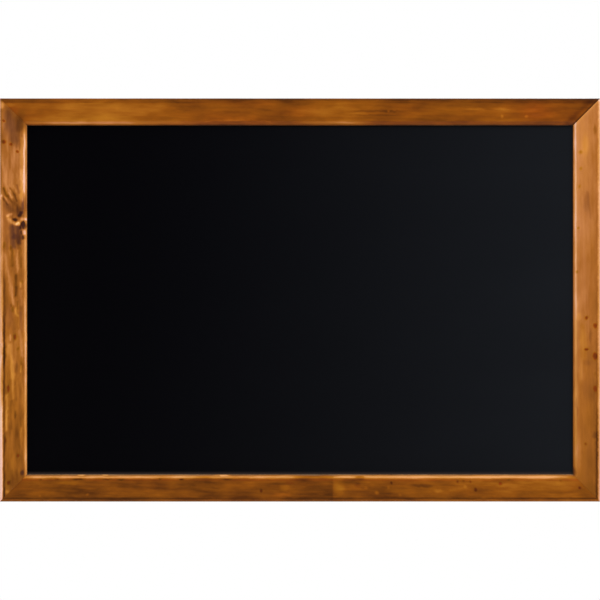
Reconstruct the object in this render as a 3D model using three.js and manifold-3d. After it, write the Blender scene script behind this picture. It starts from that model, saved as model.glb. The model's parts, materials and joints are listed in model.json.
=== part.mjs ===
// A framed wall chalkboard. Four mitred rails hold a black writing panel in a rabbet, and two
// D-rings behind the stiles hang it on wall hooks. Lengths are in millimetres. As the board is
// looked at, +X is to the right, +Z is up and +Y goes into the wall. The origin is the middle of
// the board's outline, in the plane of the wall.

import * as THREE from "three";
import { mergeVertices } from "three/addons/utils/BufferGeometryUtils.js";
import Module from "manifold-3d";

const wasm = await Module();
wasm.setup();

// Wooden frame
const boardWidth = 600;
const boardHeight = 403;
const railWidth = 27; // across the face, with the sight bevel
const frameDepth = 18; // from front face to back face
const sightBevelWidth = 4;
const sightBevelDepth = 3;
const lipThickness = 5; // wood in front of the panel
const rabbetWidth = 7; // step behind the lip that the panel lies in
const frontEdgeRadius = 2.5;
const backEdgeChamfer = 0.8;
const glueLine = 0.1; // between the two faces of a mitre

// Writing panel
const sheetThickness = 0.8;
const coreThickness = 4;
const panelGap = 1; // room to swell, between the panel's edge and the rabbet's wall

// V-nails across the back of each mitre
const vNailLeg = 5;
const vNailSheet = 0.6;
const vNailHeight = 10;
const vNailSink = 0.3; // below the wood's back face
const vNailCount = 2; // at each corner, evenly across the wood

// Steel points that keep the panel in the rabbet
const pointWidth = 10;
const pointThickness = 0.5;
const pointOverlap = 7; // over the panel's back
const pointBite = 6; // into the wood
const pointTipLength = 2.5;
const pointCorner = 1.2;
const pointPitch = 150; // the points are about this far apart

// D-ring hangers
const hangerDrop = 50; // from the frame's top edge to the ring's hinge
const wireDiameter = 2.2;
const ringCornerRadius = 2; // of the wire's middle line
const strapWidth = 10;
const strapSheet = 0.8; // folded over the wire, so the strap is two sheets thick
const strapSlope = 2.1; // where the fold comes down from the wire to the flat

// Hanger screws
const screwLength = 14; // under the head
const screwRootDiameter = 2.4;
const threadDiameter = 3.5;
const threadPitch = 1.4;
const threadRidge = 0.84; // the ridge's width at its root
const threadBite = 0.24; // the ridge's root goes this far into the shank
const screwHeadDiameter = 6.4;
const screwHeadHeight = 2;
const screwHeadRim = 0.6;
const screwTipLength = 3;
const plainShank = 2; // unthreaded length under the head
const recessSpan = 3.8;
const recessSlot = 0.9;
const recessDepth = 1.3;
const recessFloorShare = 0.5; // the recess narrows to this share at its floor

// Wall pads
const padDiameter = 9;
const padRound = 1.2;
const padRise = 30; // from the frame's bottom edge to the pad's middle

// Clearances
const seatGap = 0.1; // between pieces that lie on each other
const driveGap = 0.2; // round steel driven into wood
const wireGap = 0.2; // between the ring's wire and the strap's loop
const ringSideGap = 0.4; // between the strap's edges and the ring's bends
const ringHeadGap = 0.6; // between the ring folded down and the screw's head
const screwHoleGap = 0.35; // between the screw's thread and the strap's hole
const restGap = 0.3; // where the ring lies on the wood
const hangerWallGap = 0.4; // between the strap's loop and the wall
const cutOverrun = 1; // how far a cutter runs past the face that it opens

// Roundness
const edgeSteps = 6;
const wireSides = 10;
const wireSteps = 60;
const boreSides = 24;
const screwSides = 16;
const padSides = 24;

// Sizes that follow
const landWidth = railWidth - rabbetWidth; // back face of a rail
const rabbetFloor = -(frameDepth - lipThickness); // back of the lip, from the wood's back face
const panelWidth = boardWidth - 2 * (landWidth + panelGap);
const panelHeight = boardHeight - 2 * (landWidth + panelGap);
const sheetFront = rabbetFloor + seatGap;
const coreFront = sheetFront + sheetThickness + seatGap;
const panelBack = coreFront + coreThickness;
const wireRadius = wireDiameter / 2;
const loopBore = wireRadius + wireGap;
const loopRadius = loopBore + strapSheet;
const strapThickness = 2 * strapSheet;
const strapFlatStart = loopRadius + strapSlope; // from the hinge, as are the next three
const screwOffset = strapFlatStart + seatGap + screwHeadDiameter / 2;
const strapEnd = screwOffset + strapWidth / 2;
const ringLength = screwOffset + screwHeadDiameter / 2 + ringHeadGap + wireDiameter;
const ringWidth = strapWidth + 2 * (ringSideGap + ringCornerRadius) + wireDiameter;
const hingeHeight = seatGap + loopRadius; // above the wood's back face
const standOff = hingeHeight + loopRadius + hangerWallGap; // wood's back face to the wall
const padHeight = standOff - seatGap;
const ringReach = ringLength - wireRadius;
const ringLean = Math.asin((hingeHeight - wireRadius - restGap) / ringReach);
const stileMiddle = boardWidth / 2 - landWidth / 2;
const hingeLevel = boardHeight / 2 - hangerDrop;
const screwLevel = hingeLevel - screwOffset;
const padLevel = padRise - boardHeight / 2;
const strapSeat = seatGap + strapThickness; // the strap's back, above the wood

// Finishes
const railWood = new THREE.MeshStandardMaterial({ color: 0x88501a, roughness: 0.45, metalness: 0 });
const stileWood = new THREE.MeshStandardMaterial({ color: 0xa9692c, roughness: 0.45, metalness: 0 });
const chalkBlack = new THREE.MeshStandardMaterial({ color: 0x111214, roughness: 0.6, metalness: 0 });
const hardboard = new THREE.MeshStandardMaterial({ color: 0x6b4a2d, roughness: 0.85, metalness: 0 });
const blueSteel = new THREE.MeshStandardMaterial({ color: 0x6d7176, roughness: 0.4, metalness: 1 });
const zincPlate = new THREE.MeshStandardMaterial({ color: 0xb9bcc0, roughness: 0.3, metalness: 1 });
const padRubber = new THREE.MeshStandardMaterial({ color: 0x2b2b2b, roughness: 0.8, metalness: 0 });

// A closed geometry as a solid that can be cut and joined.
function solidOf(geometry) {
  const bare = geometry.clone();
  bare.deleteAttribute("normal");
  bare.deleteAttribute("uv");
  const welded = mergeVertices(bare, 1e-4);
  const mesh = new wasm.Mesh({
    numProp: 3,
    vertProperties: welded.attributes.position.array,
    triVerts: new Uint32Array(welded.index.array),
  });
  return new wasm.Manifold(mesh);
}

// The flat-shaded geometry of a solid.
function geometryOf(solid) {
  const { vertProperties, triVerts } = solid.getMesh();
  const shared = new THREE.BufferGeometry();
  shared.setAttribute("position", new THREE.BufferAttribute(vertProperties, 3));
  shared.setIndex(new THREE.BufferAttribute(triVerts, 1));
  const faceted = shared.toNonIndexed();
  faceted.computeVertexNormals();
  return faceted;
}

function cut(geometry, cutters) {
  return geometryOf(cutters.reduce((rest, cutter) => rest.subtract(solidOf(cutter)), solidOf(geometry)));
}

// A prism along X. The outline's first coordinate runs down, to -Z, and its second to +Y.
function prismAlongX(outline, length) {
  const prism = new THREE.ExtrudeGeometry(outline, {
    depth: length,
    bevelEnabled: false,
    curveSegments: edgeSteps,
  });
  prism.translate(0, 0, -length / 2);
  return prism.rotateY(Math.PI / 2);
}

// A plate whose outline is in X and Z. It is as thick as said, from y = 0 towards the front.
function plateFromBack(outline, thickness) {
  const plate = new THREE.ExtrudeGeometry(outline, {
    depth: thickness,
    bevelEnabled: false,
    curveSegments: edgeSteps,
  });
  return plate.rotateX(Math.PI / 2);
}

// A round bore along Y whose flats lie no nearer to its axis than the radius.
function boreAlongY(radius, length) {
  return new THREE.CylinderGeometry(
    radius / Math.cos(Math.PI / boreSides),
    radius / Math.cos(Math.PI / boreSides),
    length,
    boreSides,
  );
}

function outlineOf(corners) {
  return new THREE.Shape(corners.map(([x, y]) => new THREE.Vector2(x, y)));
}

function named(name, geometry, material) {
  const mesh = new THREE.Mesh(geometry, material);
  mesh.name = name;
  return mesh;
}

// Rail section: the first coordinate is the distance in from the frame's outer edge, and the
// second goes from the front face, at minus the depth, to the back face, at 0.
function railSection() {
  const section = new THREE.Shape();
  section.moveTo(backEdgeChamfer, 0);
  section.lineTo(0, -backEdgeChamfer);
  section.lineTo(0, frontEdgeRadius - frameDepth);
  section.absarc(
    frontEdgeRadius,
    frontEdgeRadius - frameDepth,
    frontEdgeRadius,
    Math.PI,
    1.5 * Math.PI,
    false,
  );
  section.lineTo(railWidth - sightBevelWidth, -frameDepth);
  section.lineTo(railWidth, sightBevelDepth - frameDepth);
  section.lineTo(railWidth, rabbetFloor);
  section.lineTo(landWidth, rabbetFloor);
  section.lineTo(landWidth, 0);
  return section;
}

// A rail with a 45 degree mitre at each end, its outer edge at z = 0 and its back face at y = 0.
function mitredRail(length) {
  const rail = prismAlongX(railSection(), length);
  const corners = rail.attributes.position;
  for (let i = 0; i < corners.count; i += 1) {
    const inset = -corners.getZ(i);
    const halfLength = length / 2 - inset - glueLine / Math.SQRT2;
    corners.setX(i, Math.sign(corners.getX(i)) * halfLength);
  }
  return rail;
}

// V-nail outline with its crest at the origin and its legs along -X and -Z, grown by a clearance.
function vNailOutline(clearance) {
  const far = -vNailLeg - clearance;
  const inner = -vNailSheet - clearance;
  return outlineOf([
    [clearance, clearance],
    [far, clearance],
    [far, inner],
    [inner, inner],
    [inner, far],
    [clearance, far],
  ]);
}

// How far the V-nails' crests lie in from the frame's outer edges.
const vNailInsets = Array.from({ length: vNailCount }, (_, i) => ((i + 1) * landWidth) / (vNailCount + 1));

function vNailPocket() {
  const depth = vNailSink + vNailHeight + driveGap;
  return plateFromBack(vNailOutline(driveGap), depth + cutOverrun).translate(0, cutOverrun, 0);
}

// The pockets at both ends of a rail. The left end's is the right end's, a quarter turn on.
function vNailPockets(length) {
  return vNailInsets.flatMap((inset) => [
    vNailPocket().translate(length / 2 - inset, 0, -inset),
    vNailPocket().rotateY(-Math.PI / 2).translate(inset - length / 2, 0, -inset),
  ]);
}

// Where the points sit along a rail.
function pointPlaces(length) {
  const count = Math.max(2, Math.round(length / pointPitch));
  const step = length / count;
  return Array.from({ length: count }, (_, i) => (i + 0.5) * step - length / 2);
}

// A point's outline: its blunt end lies over the panel at -Z, and its tip is in the wood at +Z.
// z = 0 is the rabbet's wall.
function pointOutline() {
  const half = pointWidth / 2;
  const reach = -(panelGap + pointOverlap);
  const outline = new THREE.Shape();
  outline.moveTo(-half, reach + pointCorner);
  outline.absarc(pointCorner - half, reach + pointCorner, pointCorner, Math.PI, 1.5 * Math.PI, false);
  outline.absarc(half - pointCorner, reach + pointCorner, pointCorner, 1.5 * Math.PI, 2 * Math.PI, false);
  outline.lineTo(half, pointBite - pointTipLength);
  outline.lineTo(pointTipLength / 2, pointBite);
  outline.lineTo(-pointTipLength / 2, pointBite);
  outline.lineTo(-half, pointBite - pointTipLength);
  return outline;
}

// The slot that a point is driven into, open at the rabbet's wall.
function pointSlot() {
  const depth = pointBite + driveGap + cutOverrun;
  const slot = new THREE.BoxGeometry(
    pointWidth + 2 * driveGap,
    pointThickness + 2 * driveGap,
    depth,
  );
  const middle = panelBack + seatGap + pointThickness / 2;
  return slot.translate(0, middle, depth / 2 - cutOverrun - landWidth);
}

// A hanger screw's pilot hole in the wood's back face.
function pilotHole() {
  const length = screwLength + driveGap + cutOverrun;
  const bottom = strapSeat - screwLength - driveGap;
  return boreAlongY(threadDiameter / 2 + driveGap, length).translate(0, bottom + length / 2, 0);
}

// The D-ring's middle line, in X and Z, with the hinge along X at the origin.
class RingLine extends THREE.Curve {
  constructor() {
    super();
    const half = ringWidth / 2 - wireRadius;
    const corner = ringCornerRadius;
    this.outline = new THREE.Path();
    this.outline.moveTo(0, 0);
    this.outline.lineTo(half - corner, 0);
    this.outline.absarc(half - corner, corner, corner, -Math.PI / 2, 0, false);
    this.outline.lineTo(half, ringReach - half);
    this.outline.absarc(0, ringReach - half, half, 0, Math.PI, false);
    this.outline.lineTo(-half, corner);
    this.outline.absarc(corner - half, corner, corner, Math.PI, 1.5 * Math.PI, false);
    this.outline.lineTo(0, 0);
  }

  getPoint(share, target = new THREE.Vector3()) {
    const { x, y } = this.outline.getPointAt(share);
    return target.set(x, 0, y);
  }
}

function ringGeometry() {
  return new THREE.TubeGeometry(new RingLine(), wireSteps, wireRadius, wireSides, true);
}

// The strap: a sheet folded round the ring's straight side and pressed flat where its screw
// goes through both layers. The hinge is the origin, and the screw is below it. Inside the
// fold, the two layers part in a drop-shaped bore that the wire lies in.
function strapGeometry() {
  const flatTop = strapThickness - loopRadius;
  const slopeStart = Math.hypot(strapFlatStart, flatTop);
  const tangent = Math.atan2(flatTop, strapFlatStart) + Math.acos(loopRadius / slopeStart);
  const fold = new THREE.Shape();
  fold.moveTo(strapEnd, -loopRadius);
  fold.lineTo(strapEnd, flatTop);
  fold.lineTo(strapFlatStart, flatTop);
  fold.absarc(0, 0, loopRadius, tangent, 1.5 * Math.PI, false);
  const bore = new THREE.Path();
  bore.moveTo((loopBore * (1 + Math.sin(tangent))) / Math.cos(tangent), -loopBore);
  bore.lineTo(0, -loopBore);
  bore.absarc(0, 0, loopBore, -Math.PI / 2, tangent, true);
  fold.holes.push(bore);
  const bent = new THREE.ExtrudeGeometry(fold, {
    depth: strapWidth,
    bevelEnabled: false,
    curveSegments: boreSides,
  });
  bent.translate(0, 0, -strapWidth / 2);
  bent.rotateY(Math.PI / 2);

  const past = loopRadius + cutOverrun;
  const plan = new THREE.Shape();
  plan.moveTo(strapWidth / 2, past);
  plan.lineTo(-strapWidth / 2, past);
  plan.absarc(0, -screwOffset, strapWidth / 2, Math.PI, 2 * Math.PI, false);
  const blank = new THREE.ExtrudeGeometry(plan, {
    depth: 2 * past,
    bevelEnabled: false,
    curveSegments: screwSides,
  });
  blank.rotateX(Math.PI / 2);
  blank.translate(0, past, 0);

  const hole = boreAlongY(threadDiameter / 2 + screwHoleGap, 2 * past).translate(0, 0, -screwOffset);
  return geometryOf(solidOf(bent).intersect(solidOf(blank)).subtract(solidOf(hole)));
}

// The screw's thread: a ridge of triangular section that climbs round the Y axis.
function threadGeometry(start, end) {
  const rootRadius = screwRootDiameter / 2;
  const buried = rootRadius - threadBite;
  const halfRidge = threadRidge / 2;
  const steps = Math.round(((end - start) / threadPitch) * screwSides);
  const corners = [];
  const faces = [];
  for (let i = 0; i <= steps; i += 1) {
    const turn = (2 * Math.PI * i) / screwSides;
    const level = start + ((end - start) * i) / steps;
    const fade = Math.min(1, (2 * i) / screwSides, (2 * (steps - i)) / screwSides);
    const crest = rootRadius + (threadDiameter / 2 - rootRadius) * fade;
    for (const [radius, rise] of [[buried, -halfRidge], [crest, 0], [buried, halfRidge]]) {
      corners.push(radius * Math.cos(turn), level + rise, -radius * Math.sin(turn));
    }
    if (i < steps) {
      for (let k = 0; k < 3; k += 1) {
        const here = 3 * i + k;
        const beside = 3 * i + ((k + 1) % 3);
        faces.push(here, here + 3, beside + 3, here, beside + 3, beside);
      }
    }
  }
  const last = 3 * steps;
  faces.push(0, 1, 2, last, last + 2, last + 1);
  const ridge = new THREE.BufferGeometry();
  ridge.setAttribute("position", new THREE.Float32BufferAttribute(corners, 3));
  ridge.setIndex(faces);
  return ridge;
}

// The cross recess, narrower at its floor than at the head's top.
function recessGeometry() {
  const half = recessSpan / 2;
  const slot = recessSlot / 2;
  const cross = outlineOf([
    [half, -slot],
    [half, slot],
    [slot, slot],
    [slot, half],
    [-slot, half],
    [-slot, slot],
    [-half, slot],
    [-half, -slot],
    [-slot, -slot],
    [-slot, -half],
    [slot, -half],
    [slot, -slot],
  ]);
  const recess = plateFromBack(cross, recessDepth);
  const corners = recess.attributes.position;
  for (let i = 0; i < corners.count; i += 1) {
    const share = 1 + ((1 - recessFloorShare) * corners.getY(i)) / recessDepth;
    corners.setX(i, corners.getX(i) * share);
    corners.setZ(i, corners.getZ(i) * share);
  }
  return recess.translate(0, screwHeadHeight + seatGap, 0);
}

// A pan-head wood screw along Y, its head's underside at y = 0 and its tip towards the front.
function screwGeometry() {
  const rootRadius = screwRootDiameter / 2;
  const headRadius = screwHeadDiameter / 2;
  const crown = screwHeadHeight - screwHeadRim;
  const profile = new THREE.Path();
  profile.moveTo(0, -screwLength);
  profile.lineTo(rootRadius, screwTipLength - screwLength);
  profile.lineTo(rootRadius, 0);
  profile.lineTo(headRadius, 0);
  profile.lineTo(headRadius, screwHeadRim);
  profile.absellipse(headRadius - crown, screwHeadRim, crown, crown, 0, Math.PI / 2, false, 0);
  profile.lineTo(0, screwHeadHeight);
  const body = new THREE.LatheGeometry(profile.getPoints(edgeSteps), screwSides);
  const thread = threadGeometry(screwTipLength / 2 - screwLength, -plainShank);
  const whole = solidOf(body).add(solidOf(thread)).subtract(solidOf(recessGeometry()));
  return geometryOf(whole);
}

// A self-adhesive pad along Y, its glued face at y = 0.
function padGeometry() {
  const radius = padDiameter / 2;
  const profile = new THREE.Path();
  profile.moveTo(0, 0);
  profile.lineTo(radius, 0);
  profile.lineTo(radius, padHeight - padRound);
  profile.absarc(radius - padRound, padHeight - padRound, padRound, 0, Math.PI / 2, false);
  profile.lineTo(0, padHeight);
  return new THREE.LatheGeometry(profile.getPoints(edgeSteps), padSides);
}

// One side of the frame, built as the top one: the rail, its points, and the V-nails of its
// right-hand corner.
function frameSide({ name, corner, length, across, wood, screwPlace }) {
  const side = new THREE.Group();
  const cutters = vNailPockets(length);
  for (const place of pointPlaces(length)) {
    cutters.push(pointSlot().translate(place, 0, 0));
  }
  if (screwPlace !== undefined) {
    cutters.push(pilotHole().translate(screwPlace, 0, -landWidth / 2));
  }
  side.add(named(name, cut(mitredRail(length), cutters), wood));

  pointPlaces(length).forEach((place, i) => {
    const point = named(
      `${name}_panel_point_${i + 1}`,
      plateFromBack(pointOutline(), pointThickness),
      blueSteel,
    );
    point.position.set(place, panelBack + seatGap + pointThickness, -landWidth);
    side.add(point);
  });

  vNailInsets.forEach((inset, i) => {
    const nail = named(
      `${corner}_v_nail_${i + 1}`,
      plateFromBack(vNailOutline(0), vNailHeight),
      blueSteel,
    );
    nail.position.set(length / 2 - inset, -vNailSink, -inset);
    side.add(nail);
  });
  for (const piece of side.children) {
    piece.position.z += across / 2;
  }
  return side;
}

// The four sides, a quarter turn apart. A side's own +X runs clockwise round the frame.
function frame() {
  const group = new THREE.Group();
  const rail = { length: boardWidth, across: boardHeight, wood: railWood };
  const stile = { length: boardHeight, across: boardWidth, wood: stileWood };
  const sides = [
    { ...rail, name: "top_rail", corner: "top_right" },
    { ...stile, name: "right_stile", corner: "bottom_right", screwPlace: -screwLevel },
    { ...rail, name: "bottom_rail", corner: "bottom_left" },
    { ...stile, name: "left_stile", corner: "top_left", screwPlace: screwLevel },
  ];
  sides.forEach((facts, i) => {
    const side = frameSide(facts);
    side.rotation.y = (i * Math.PI) / 2;
    group.add(side);
  });
  return group;
}

// The black sheet and the hardboard behind it.
function writingPanel() {
  const group = new THREE.Group();
  const sheet = named(
    "writing_sheet",
    new THREE.BoxGeometry(panelWidth, sheetThickness, panelHeight),
    chalkBlack,
  );
  sheet.position.y = sheetFront + sheetThickness / 2;
  const core = named(
    "panel_core",
    new THREE.BoxGeometry(panelWidth, coreThickness, panelHeight),
    hardboard,
  );
  core.position.y = coreFront + coreThickness / 2;
  group.add(sheet, core);
  return group;
}

// A hanger's strap, ring and screw, with the hinge at the group's origin.
function hanger(side) {
  const group = new THREE.Group();
  const strap = named(`${side}_hanger_strap`, strapGeometry(), zincPlate);
  const screw = named(`${side}_hanger_screw`, screwGeometry(), zincPlate);
  screw.position.set(0, strapThickness - loopRadius + seatGap, -screwOffset);
  const ring = named(`${side}_hanger_ring`, ringGeometry(), zincPlate);
  ring.rotation.x = ringLean;
  group.add(strap, screw, ring);
  return group;
}

// Everything that is fastened to the wood's back face.
function backHardware() {
  const group = new THREE.Group();
  for (const [side, direction] of [["left", -1], ["right", 1]]) {
    const fitting = hanger(side);
    fitting.position.set(direction * stileMiddle, hingeHeight, hingeLevel);
    const pad = named(`${side}_wall_pad`, padGeometry(), padRubber);
    pad.position.set(direction * stileMiddle, seatGap, padLevel);
    group.add(fitting, pad);
  }
  return group;
}

const chalkboard = new THREE.Group();
chalkboard.add(frame(), writingPanel(), backHardware());
chalkboard.position.y = -standOff;

export default chalkboard;
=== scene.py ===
"""A framed wall chalkboard: the looks of its stained pine frame, black writing panel and back.

Lengths are in metres. As the board is looked at, +X is to the right, +Z is up and +Y goes into
the wall. The origin is the middle of the board's outline, in the plane of the wall.
"""

import json
import math

import bpy
import numpy as np
from mathutils import Matrix, Vector


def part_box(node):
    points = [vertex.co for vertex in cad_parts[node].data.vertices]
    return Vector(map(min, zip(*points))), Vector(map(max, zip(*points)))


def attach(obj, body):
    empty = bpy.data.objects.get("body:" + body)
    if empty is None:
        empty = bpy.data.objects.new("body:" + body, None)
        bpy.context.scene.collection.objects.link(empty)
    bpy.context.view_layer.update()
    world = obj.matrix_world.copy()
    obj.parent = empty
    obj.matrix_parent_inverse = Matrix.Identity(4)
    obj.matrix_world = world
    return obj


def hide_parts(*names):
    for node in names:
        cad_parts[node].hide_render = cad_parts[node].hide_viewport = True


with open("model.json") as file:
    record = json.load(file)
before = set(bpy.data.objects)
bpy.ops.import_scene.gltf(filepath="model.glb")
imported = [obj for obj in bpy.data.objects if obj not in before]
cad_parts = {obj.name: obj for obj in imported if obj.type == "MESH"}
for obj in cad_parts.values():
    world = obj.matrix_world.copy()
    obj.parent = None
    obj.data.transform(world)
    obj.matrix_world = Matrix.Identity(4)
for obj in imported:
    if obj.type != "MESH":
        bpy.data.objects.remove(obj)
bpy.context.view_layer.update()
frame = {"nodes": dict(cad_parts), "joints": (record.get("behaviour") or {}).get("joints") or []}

MM = 0.001

# Frame, from its CAD pieces
rail_low, rail_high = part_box("top_rail")
sheet_low, sheet_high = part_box("writing_sheet")
HALF_WIDTH, HALF_HEIGHT = rail_high.x, rail_high.z
BACK = rail_high.y
FRAME_DEPTH = rail_high.y - rail_low.y
RAIL_WIDTH = rail_high.z - rail_low.z
PANEL_GAP = 1 * MM
SEAT_GAP = 0.1 * MM
LAND_WIDTH = HALF_WIDTH - sheet_high.x - PANEL_GAP
LIP_BACK = BACK - sheet_low.y + SEAT_GAP
SIGHT_WIDTH = 4 * MM
SIGHT_DEPTH = 3 * MM
GLUE_LINE = 0.1 * MM
RABBET_SLACK = 0.1 * MM

# Roundings of the wood
FRONT_EDGE = 2.5 * MM
BACK_EDGE = 0.8 * MM
SIGHT_ARRIS = 0.6 * MM
LIP_ARRIS = 0.45 * MM
INNER_ARRIS = 0.25 * MM
ARC_STEP = math.radians(13)

# Wood surface
STATION_PITCH = 1.0 * MM
END_STATIONS = (0.0, 0.15 * MM, 0.35 * MM, 0.7 * MM)
RELIEF = 0.08 * MM
RELIEF_RUN = 38 * MM
RELIEF_GIRTH = 7 * MM
NICK_DEPTH = 0.22 * MM
NICK_RUN = 5 * MM
NICK_GIRTH = 4 * MM
NICK_ONSET = 0.55
ARRIS_REACH = 0.9 * MM
JOINT_BREAK_WIDTH = 0.5 * MM
LATTICE = 97

# Cuts in the wood's back
NAILS = 2
NAIL_LEG = 5 * MM
NAIL_SHEET = 0.6 * MM
NAIL_DEPTH = 10.5 * MM
HOLE_DEPTH = 12.5 * MM
DRIVE_GAP = 0.2 * MM
SLOT_REACH = 6.2 * MM
OVERRUN = 1 * MM

# Hangers and pads
WIRE_RADIUS = 1.1 * MM
WIRE_STEPS = 28
TURNED_STEPS = 64
QUARTER_ROUND = np.linspace(0, math.pi / 2, 9)
INNER_CIRCLE = 0.5
RING_CORNER = 2 * MM
RING_HALF = 7.4 * MM
RING_REACH = 12.4 * MM
RING_STEPS = 36
RING_GAP = 0.3 * MM
STRAP_EDGE = 0.16 * MM
SCREW_ROOT = 1.2 * MM
SCREW_CREST = 1.75 * MM
SCREW_PITCH = 1.4 * MM
SCREW_RIDGE = 0.42 * MM
SCREW_STEP = 0.1 * MM
SCREW_FADE = 0.7 * MM
SCREW_TIP = 3 * MM
SCREW_PLAIN = 2 * MM
HEAD_RADIUS = 3.2 * MM
HEAD_HEIGHT = 2 * MM
HEAD_RIM = 0.6 * MM
HEAD_EDGE = 0.12 * MM
RECESS_HALF = 1.9 * MM
RECESS_SLOT = 0.45 * MM
RECESS_DEPTH = 1.3 * MM
RECESS_SIZES = (0.5, 1.05)
RECESS_TURN = math.radians(-24)
OVERCUT = 0.2 * MM
PAD_ROUND = 1.2 * MM
PAD_EDGE = 0.15 * MM

# How deep the pad's face is dished, at shares of its radius
PAD_DISH = [(0.4, 0.03 * MM), (0, 0.05 * MM)]

# Camera and light. VIEW_WIDTH is how much of the frame's front plane the picture takes in
LENS = 150.0
SENSOR = 36.0
VIEW_WIDTH = 0.5990
WORLD_LIGHT = 0.5
LAMP_SIZE = 1.4
FLOOR_LEVEL = -0.9
FLOOR_GLOW = 0.3
FLOOR_SIZE = 7.0
FLAG_PLACE = -1.3
FLAG_RIGHT = 0.75
FLAG_REACH = 3.0


# Shapes


def smooth_step(value, low, high):
    """The cubic step: 0 below low, 1 above high, and 3t^2 - 2t^3 between them."""
    share = np.clip((value - low) / (high - low), 0.0, 1.0)
    return share * share * (3 - 2 * share)


def soft_noise(x, y, seed):
    """Smooth noise from 0 to 1: seeded values on a unit lattice, joined by cubic steps in x and y."""
    values = np.random.default_rng(seed).random((LATTICE, LATTICE))
    column, row = np.floor(x).astype(int), np.floor(y).astype(int)
    across, up = smooth_step(x - column, 0, 1), smooth_step(y - row, 0, 1)
    column, row = column % LATTICE, row % LATTICE
    beside, above = (column + 1) % LATTICE, (row + 1) % LATTICE
    low = values[column, row] * (1 - across) + values[beside, row] * across
    high = values[column, above] * (1 - across) + values[beside, above] * across
    return low * (1 - up) + high * up


def rounded_outline(corners):
    """A closed outline. Each corner is (across, deep, radius, pitch): an arc of that radius that
    touches both of its edges, then points along the next edge at that pitch."""
    points = np.array([corner[:2] for corner in corners])
    before = np.roll(points, 1, axis=0) - points
    after = np.roll(points, -1, axis=0) - points
    before /= np.linalg.norm(before, axis=1)[:, None]
    after /= np.linalg.norm(after, axis=1)[:, None]
    arcs = []
    for point, a, b, (_, _, radius, _) in zip(points, before, after, corners):
        if radius == 0:
            arcs.append(point[None])
            continue
        half = 0.5 * math.acos(float(a @ b))
        centre = point + (a + b) / np.linalg.norm(a + b) * radius / math.sin(half)
        start = point + a * radius / math.tan(half) - centre
        end = point + b * radius / math.tan(half) - centre
        turn = math.pi - 2 * half
        shares = np.linspace(0, 1, max(3, math.ceil(turn / ARC_STEP) + 1))[:, None]
        arcs.append(
            centre
            + start * np.sin((1 - shares) * turn) / math.sin(turn)
            + end * np.sin(shares * turn) / math.sin(turn)
        )
    outline = []
    for i, arc in enumerate(arcs):
        run = arcs[(i + 1) % len(arcs)][0] - arc[-1]
        steps = max(1, round(float(np.linalg.norm(run)) / corners[i][3]))
        shares = np.arange(1, steps)[:, None] / steps
        outline += [arc, arc[-1] + run * shares]
    return np.concatenate(outline)


def outline_normals(outline):
    """The outward directions of a closed outline, square to the line between each point's neighbours."""
    along = np.roll(outline, -1, axis=0) - np.roll(outline, 1, axis=0)
    along /= np.linalg.norm(along, axis=1)[:, None]
    x, y = outline.T
    area = np.sum(x * np.roll(y, -1) - np.roll(x, -1) * y)
    return np.sign(area) * np.stack([along[:, 1], -along[:, 0]], axis=1)


def grid_quads(rows, columns, wrap_rows=False):
    """Quads between neighbours on a grid of rows by columns. The columns close on themselves."""
    here = np.arange(rows * columns).reshape(rows, columns)
    beside = np.roll(here, -1, axis=1)
    if wrap_rows:
        next_row, next_beside = np.roll(here, -1, axis=0), np.roll(beside, -1, axis=0)
    else:
        next_row, next_beside = here[1:], beside[1:]
        here, beside = here[:-1], beside[:-1]
    return np.stack([here, beside, next_beside, next_row], axis=-1).reshape(-1, 4)


def enclosed(points, faces):
    """Six times the volume inside closed faces, from the fan of triangles of each face."""
    total = 0.0
    for size in {len(face) for face in faces}:
        same = np.array([face for face in faces if len(face) == size])
        first = points[same[:, 0]]
        for k in range(1, size - 1):
            total += np.sum(first * np.cross(points[same[:, k]], points[same[:, k + 1]]))
    return total


def in_scene(name, data):
    """A new object in the scene that holds the data."""
    item = bpy.data.objects.new(name, data)
    bpy.context.scene.collection.objects.link(item)
    return item


def new_object(name, points, faces):
    """A mesh object at the origin with its faces pointing outwards."""
    if enclosed(points, faces) < 0:
        faces = [face[::-1] for face in faces]
    mesh = bpy.data.meshes.new(name)
    mesh.from_pydata(points.tolist(), [], faces)
    mesh.validate()
    return in_scene(name, mesh)


def box_cutter(lows, highs, place):
    """Closed boxes, each from its low to its high corner, put in place by a function of corners."""
    corners = np.array([(i, j, k) for i in (0, 1) for j in (0, 1) for k in (0, 1)])
    quads = [(0, 1, 3, 2), (4, 6, 7, 5), (0, 4, 5, 1), (2, 3, 7, 6), (0, 2, 6, 4), (1, 5, 7, 3)]
    points, faces = [], []
    for low, high in zip(lows, highs):
        faces += [tuple(8 * len(points) + i for i in quad) for quad in quads]
        points.append(place(*(np.array(low) + corners * (np.array(high) - np.array(low))).T))
    return new_object("cutter", np.concatenate(points), faces)


def shaped(piece):
    """Puts the result of a piece's modifiers into its mesh."""
    evaluated = piece.evaluated_get(bpy.context.evaluated_depsgraph_get())
    old = piece.data
    piece.data = bpy.data.meshes.new_from_object(evaluated)
    piece.modifiers.clear()
    bpy.data.meshes.remove(old)
    piece.data.name = piece.name
    piece.data.materials.clear()
    return piece


def carve(piece, cutter):
    """Takes the cutter's shape out of a piece."""
    tool = piece.modifiers.new("cut", "BOOLEAN")
    tool.operation = "DIFFERENCE"
    tool.solver = "MANIFOLD"
    tool.object = cutter
    shaped(piece)
    bpy.data.objects.remove(cutter)


def smooth(piece, angle=32):
    """Shades a piece smooth, apart from edges that turn by more than the angle, in degrees."""
    piece.data.shade_smooth()
    piece.data.set_sharp_from_angle(angle=math.radians(angle))
    return piece


# The four sides of the frame

# What a side's wood has unless the side says otherwise
PLAIN_WOOD = {"rim_reach": 1.4, "rim_hue": [(0, 0)], "worn_lip": 0, "slope": 0, "line_hue": 0}


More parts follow.
